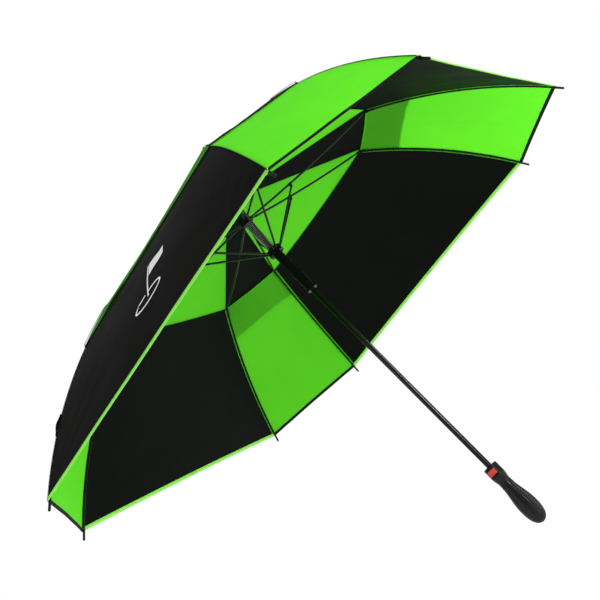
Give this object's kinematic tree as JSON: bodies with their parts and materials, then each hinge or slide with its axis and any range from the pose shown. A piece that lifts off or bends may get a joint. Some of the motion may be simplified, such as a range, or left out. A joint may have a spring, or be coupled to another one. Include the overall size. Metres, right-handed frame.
{
  "type": "golf umbrella",
  "caption": "Large golf umbrella with a vented double canopy in black and lime panels, folding fibreglass ribs, a push-button release and a moulded grip.",
  "frame": {"origin": "on the shaft's axis at the middle of the grip, where a hand holds it", "axes": "+Z along the shaft towards the ferrule, +X towards the release button, across a wide panel"},
  "size_m": [1.1722, 1.1722, 0.985],
  "materials": {
    "shaft_black": "gloss black enamel on a steel tube",
    "rib_black": "black fibreglass and black-plated fittings, semi-gloss",
    "spring_steel": "black-oiled spring steel",
    "plastic_black": "moulded black plastic, satin",
    "grip_rubber": "black rubberised grip with fine cross ridges",
    "button_red": "moulded red plastic",
    "fabric_black": "black woven polyester, coated",
    "fabric_green": "lime green woven polyester, coated"
  },
  "bodies": {
    "frame": {"shaft_tube": "shaft_black", "ferrule": "plastic_black", "rib_hub": "plastic_black", "hub_wire": "spring_steel", "opening_spring": "spring_steel", "grip": "grip_rubber", "grip_collar": "plastic_black", "button_spring": "spring_steel"},
    "runner": {"runner": "plastic_black"},
    "release_button": {"release_button": "button_red"},
    "release_rod": {"release_rod": "spring_steel"},
    "rib_arm_1": {"rib_arm_1": "rib_black", "vent_panel_1": "fabric_black"},
    "rib_rod_1": {"rib_rod_1": "rib_black", "rib_tip_1": "plastic_black", "canopy_panel_1": "fabric_green"},
    "stretcher_1": {"stretcher_1": "rib_black"},
    "rib_arm_2": {"rib_arm_2": "rib_black", "vent_panel_2": "fabric_green"},
    "rib_rod_2": {"rib_rod_2": "rib_black", "rib_tip_2": "plastic_black", "canopy_panel_2": "fabric_black"},
    "stretcher_2": {"stretcher_2": "rib_black"},
    "rib_arm_3": {"rib_arm_3": "rib_black", "vent_panel_3": "fabric_black"},
    "rib_rod_3": {"rib_rod_3": "rib_black", "rib_tip_3": "plastic_black", "canopy_panel_3": "fabric_green"},
    "stretcher_3": {"stretcher_3": "rib_black"},
    "rib_arm_4": {"rib_arm_4": "rib_black", "vent_panel_4": "fabric_green"},
    "rib_rod_4": {"rib_rod_4": "rib_black", "rib_tip_4": "plastic_black", "canopy_panel_4": "fabric_black"},
    "stretcher_4": {"stretcher_4": "rib_black"},
    "rib_arm_5": {"rib_arm_5": "rib_black", "vent_panel_5": "fabric_black"},
    "rib_rod_5": {"rib_rod_5": "rib_black", "rib_tip_5": "plastic_black", "canopy_panel_5": "fabric_green"},
    "stretcher_5": {"stretcher_5": "rib_black"},
    "rib_arm_6": {"rib_arm_6": "rib_black", "vent_panel_6": "fabric_green"},
    "rib_rod_6": {"rib_rod_6": "rib_black", "rib_tip_6": "plastic_black", "canopy_panel_6": "fabric_black"},
    "stretcher_6": {"stretcher_6": "rib_black"},
    "rib_arm_7": {"rib_arm_7": "rib_black", "vent_panel_7": "fabric_black"},
    "rib_rod_7": {"rib_rod_7": "rib_black", "rib_tip_7": "plastic_black", "canopy_panel_7": "fabric_green"},
    "stretcher_7": {"stretcher_7": "rib_black"},
    "rib_arm_8": {"rib_arm_8": "rib_black", "vent_panel_8": "fabric_green"},
    "rib_rod_8": {"rib_rod_8": "rib_black", "rib_tip_8": "plastic_black", "canopy_panel_8": "fabric_black", "closure_strap": "fabric_black"},
    "stretcher_8": {"stretcher_8": "rib_black"}
  },
  "joints": [
    {"name": "runner_slide", "type": "slide", "parent": "frame", "child": "runner", "axis": [0, 0, -1], "range_m": [0, 0.16058], "stiffness_N_per_m": 180, "springref_m": -0.25, "deforming": ["opening_spring"]},
    {"name": "button_press", "type": "slide", "parent": "frame", "child": "release_button", "axis": [-1, 0, 0], "range_m": [0, 0.0025], "stiffness_N_per_m": 800, "springref_m": -0.002, "deforming": ["button_spring"]},
    {"name": "release_rod_lift", "type": "slide", "parent": "frame", "child": "release_rod", "axis": [0, 0, 1], "range_m": [0, 0.0025]},
    {"name": "rib_1_fold", "type": "hinge", "parent": "frame", "child": "rib_arm_1", "pos_m": [0.01098, 0.00697, 0.8], "axis": [-0.5358, 0.8443, 0], "range_deg": [0, 83], "deforming": ["vent_panel_1", "canopy_panel_1"]},
    {"name": "rod_1_flex", "type": "hinge", "parent": "rib_arm_1", "child": "rib_rod_1", "pos_m": [0.30396, 0.1929, 0.80019], "axis": [-0.5358, 0.8443, 0], "range_deg": [-28.7, 0]},
    {"name": "stretcher_1_swing", "type": "hinge", "parent": "rib_arm_1", "child": "stretcher_1", "pos_m": [0.10723, 0.06805, 0.78965], "axis": [-0.5358, 0.8443, 0], "range_deg": [-135.1, 0]},
    {"name": "rib_2_fold", "type": "hinge", "parent": "frame", "child": "rib_arm_2", "pos_m": [0.00697, 0.01098, 0.8], "axis": [-0.8443, 0.5358, 0], "range_deg": [0, 83], "deforming": ["vent_panel_2", "canopy_panel_2"]},
    {"name": "rod_2_flex", "type": "hinge", "parent": "rib_arm_2", "child": "rib_rod_2", "pos_m": [0.1929, 0.30396, 0.80019], "axis": [-0.8443, 0.5358, 0], "range_deg": [-28.7, 0]},
    {"name": "stretcher_2_swing", "type": "hinge", "parent": "rib_arm_2", "child": "stretcher_2", "pos_m": [0.06805, 0.10723, 0.78965], "axis": [-0.8443, 0.5358, 0], "range_deg": [-135.1, 0]},
    {"name": "rib_3_fold", "type": "hinge", "parent": "frame", "child": "rib_arm_3", "pos_m": [-0.00697, 0.01098, 0.8], "axis": [-0.8443, -0.5358, 0], "range_deg": [0, 83], "deforming": ["vent_panel_3", "canopy_panel_3"]},
    {"name": "rod_3_flex", "type": "hinge", "parent": "rib_arm_3", "child": "rib_rod_3", "pos_m": [-0.1929, 0.30396, 0.80019], "axis": [-0.8443, -0.5358, 0], "range_deg": [-28.7, 0]},
    {"name": "stretcher_3_swing", "type": "hinge", "parent": "rib_arm_3", "child": "stretcher_3", "pos_m": [-0.06805, 0.10723, 0.78965], "axis": [-0.8443, -0.5358, 0], "range_deg": [-135.1, 0]},
    {"name": "rib_4_fold", "type": "hinge", "parent": "frame", "child": "rib_arm_4", "pos_m": [-0.01098, 0.00697, 0.8], "axis": [-0.5358, -0.8443, 0], "range_deg": [0, 83], "deforming": ["vent_panel_4", "canopy_panel_4"]},
    {"name": "rod_4_flex", "type": "hinge", "parent": "rib_arm_4", "child": "rib_rod_4", "pos_m": [-0.30396, 0.1929, 0.80019], "axis": [-0.5358, -0.8443, 0], "range_deg": [-28.7, 0]},
    {"name": "stretcher_4_swing", "type": "hinge", "parent": "rib_arm_4", "child": "stretcher_4", "pos_m": [-0.10723, 0.06805, 0.78965], "axis": [-0.5358, -0.8443, 0], "range_deg": [-135.1, 0]},
    {"name": "rib_5_fold", "type": "hinge", "parent": "frame", "child": "rib_arm_5", "pos_m": [-0.01098, -0.00697, 0.8], "axis": [0.5358, -0.8443, 0], "range_deg": [0, 83], "deforming": ["vent_panel_5", "canopy_panel_5"]},
    {"name": "rod_5_flex", "type": "hinge", "parent": "rib_arm_5", "child": "rib_rod_5", "pos_m": [-0.30396, -0.1929, 0.80019], "axis": [0.5358, -0.8443, 0], "range_deg": [-28.7, 0]},
    {"name": "stretcher_5_swing", "type": "hinge", "parent": "rib_arm_5", "child": "stretcher_5", "pos_m": [-0.10723, -0.06805, 0.78965], "axis": [0.5358, -0.8443, 0], "range_deg": [-135.1, 0]},
    {"name": "rib_6_fold", "type": "hinge", "parent": "frame", "child": "rib_arm_6", "pos_m": [-0.00697, -0.01098, 0.8], "axis": [0.8443, -0.5358, 0], "range_deg": [0, 83], "deforming": ["vent_panel_6", "canopy_panel_6"]},
    {"name": "rod_6_flex", "type": "hinge", "parent": "rib_arm_6", "child": "rib_rod_6", "pos_m": [-0.1929, -0.30396, 0.80019], "axis": [0.8443, -0.5358, 0], "range_deg": [-28.7, 0]},
    {"name": "stretcher_6_swing", "type": "hinge", "parent": "rib_arm_6", "child": "stretcher_6", "pos_m": [-0.06805, -0.10723, 0.78965], "axis": [0.8443, -0.5358, 0], "range_deg": [-135.1, 0]},
    {"name": "rib_7_fold", "type": "hinge", "parent": "frame", "child": "rib_arm_7", "pos_m": [0.00697, -0.01098, 0.8], "axis": [0.8443, 0.5358, 0], "range_deg": [0, 83], "deforming": ["vent_panel_7", "canopy_panel_7"]},
    {"name": "rod_7_flex", "type": "hinge", "parent": "rib_arm_7", "child": "rib_rod_7", "pos_m": [0.1929, -0.30396, 0.80019], "axis": [0.8443, 0.5358, 0], "range_deg": [-28.7, 0]},
    {"name": "stretcher_7_swing", "type": "hinge", "parent": "rib_arm_7", "child": "stretcher_7", "pos_m": [0.06805, -0.10723, 0.78965], "axis": [0.8443, 0.5358, 0], "range_deg": [-135.1, 0]},
    {"name": "rib_8_fold", "type": "hinge", "parent": "frame", "child": "rib_arm_8", "pos_m": [0.01098, -0.00697, 0.8], "axis": [0.5358, 0.8443, 0], "range_deg": [0, 83], "deforming": ["vent_panel_8", "canopy_panel_8", "closure_strap"]},
    {"name": "rod_8_flex", "type": "hinge", "parent": "rib_arm_8", "child": "rib_rod_8", "pos_m": [0.30396, -0.1929, 0.80019], "axis": [0.5358, 0.8443, 0], "range_deg": [-28.7, 0]},
    {"name": "stretcher_8_swing", "type": "hinge", "parent": "rib_arm_8", "child": "stretcher_8", "pos_m": [0.10723, -0.06805, 0.78965], "axis": [0.5358, 0.8443, 0], "range_deg": [-135.1, 0]}
  ],
  "couplings": [
    {"joint": "release_rod_lift", "follows": "button_press", "ratio": 1},
    {"joint": "rib_1_fold", "follows": "runner_slide", "rad_per_m": 9.0212},
    {"joint": "rod_1_flex", "follows": "runner_slide", "rad_per_m": -3.1194},
    {"joint": "stretcher_1_swing", "follows": "runner_slide", "rad_per_m": -14.684},
    {"joint": "rib_2_fold", "follows": "runner_slide", "rad_per_m": 9.0212},
    {"joint": "rod_2_flex", "follows": "runner_slide", "rad_per_m": -3.1194},
    {"joint": "stretcher_2_swing", "follows": "runner_slide", "rad_per_m": -14.684},
    {"joint": "rib_3_fold", "follows": "runner_slide", "rad_per_m": 9.0212},
    {"joint": "rod_3_flex", "follows": "runner_slide", "rad_per_m": -3.1194},
    {"joint": "stretcher_3_swing", "follows": "runner_slide", "rad_per_m": -14.684},
    {"joint": "rib_4_fold", "follows": "runner_slide", "rad_per_m": 9.0212},
    {"joint": "rod_4_flex", "follows": "runner_slide", "rad_per_m": -3.1194},
    {"joint": "stretcher_4_swing", "follows": "runner_slide", "rad_per_m": -14.684},
    {"joint": "rib_5_fold", "follows": "runner_slide", "rad_per_m": 9.0212},
    {"joint": "rod_5_flex", "follows": "runner_slide", "rad_per_m": -3.1194},
    {"joint": "stretcher_5_swing", "follows": "runner_slide", "rad_per_m": -14.684},
    {"joint": "rib_6_fold", "follows": "runner_slide", "rad_per_m": 9.0212},
    {"joint": "rod_6_flex", "follows": "runner_slide", "rad_per_m": -3.1194},
    {"joint": "stretcher_6_swing", "follows": "runner_slide", "rad_per_m": -14.684},
    {"joint": "rib_7_fold", "follows": "runner_slide", "rad_per_m": 9.0212},
    {"joint": "rod_7_flex", "follows": "runner_slide", "rad_per_m": -3.1194},
    {"joint": "stretcher_7_swing", "follows": "runner_slide", "rad_per_m": -14.684},
    {"joint": "rib_8_fold", "follows": "runner_slide", "rad_per_m": 9.0212},
    {"joint": "rod_8_flex", "follows": "runner_slide", "rad_per_m": -3.1194},
    {"joint": "stretcher_8_swing", "follows": "runner_slide", "rad_per_m": -14.684}
  ]
}
